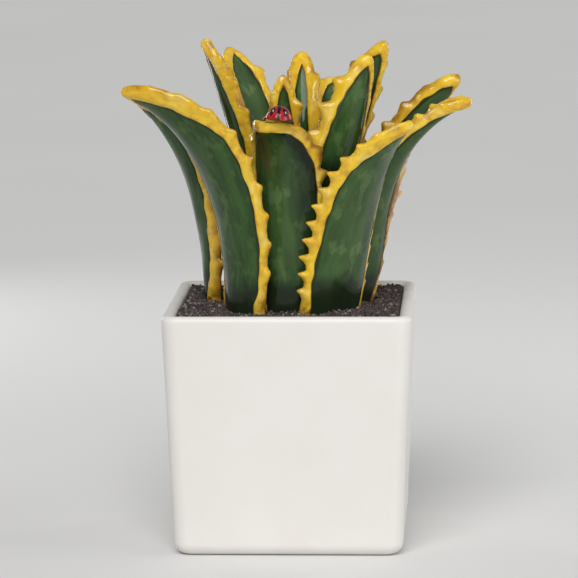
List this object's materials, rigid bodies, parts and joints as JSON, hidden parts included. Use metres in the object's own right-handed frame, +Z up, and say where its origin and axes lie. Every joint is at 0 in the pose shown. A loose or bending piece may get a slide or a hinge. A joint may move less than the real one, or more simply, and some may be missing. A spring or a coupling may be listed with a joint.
{
  "type": "potted agave",
  "caption": "Rosette of thick, toothed, yellow-edged green leaves in a square off-white pot of dark grit, with a ladybird on the front leaf.",
  "frame": {"origin": "the middle of the pot's underside", "axes": "+Z up; -Y is the front, which the ladybird's leaf faces; +X to the right seen from the front"},
  "size_m": [0.1395, 0.1169, 0.205],
  "materials": {
    "pot": "off-white gloss glaze",
    "soil": "loose dark grit, matt",
    "stem": "matt",
    "blade": "brushed dark green under a clear gloss glaze",
    "margin": "brushed golden yellow under a clear gloss glaze",
    "ladybird_red": "red gloss",
    "ladybird_black": "black gloss"
  },
  "bodies": {
    "root": {"pot": "pot", "soil": "soil", "stem": "stem", "front_blade": "blade", "front_margin": "margin", "front_left_blade": "blade", "front_left_margin": "margin", "left_blade": "blade", "left_margin": "margin", "back_left_blade": "blade", "back_left_margin": "margin", "back_blade": "blade", "back_margin": "margin", "back_right_blade": "blade", "back_right_margin": "margin", "right_blade": "blade", "right_margin": "margin", "front_right_blade": "blade", "front_right_margin": "margin", "inner_left_blade": "blade", "inner_left_margin": "margin", "inner_back_left_blade": "blade", "inner_back_left_margin": "margin", "inner_back_blade": "blade", "inner_back_margin": "margin", "inner_back_right_blade": "blade", "inner_back_right_margin": "margin", "inner_right_blade": "blade", "inner_right_margin": "margin", "inner_front_right_blade": "blade", "inner_front_right_margin": "margin", "heart_blade": "blade", "heart_margin": "margin", "ladybird_body": "ladybird_black", "ladybird_left_wing": "ladybird_red", "ladybird_right_wing": "ladybird_red"}
  },
  "joints": []
}
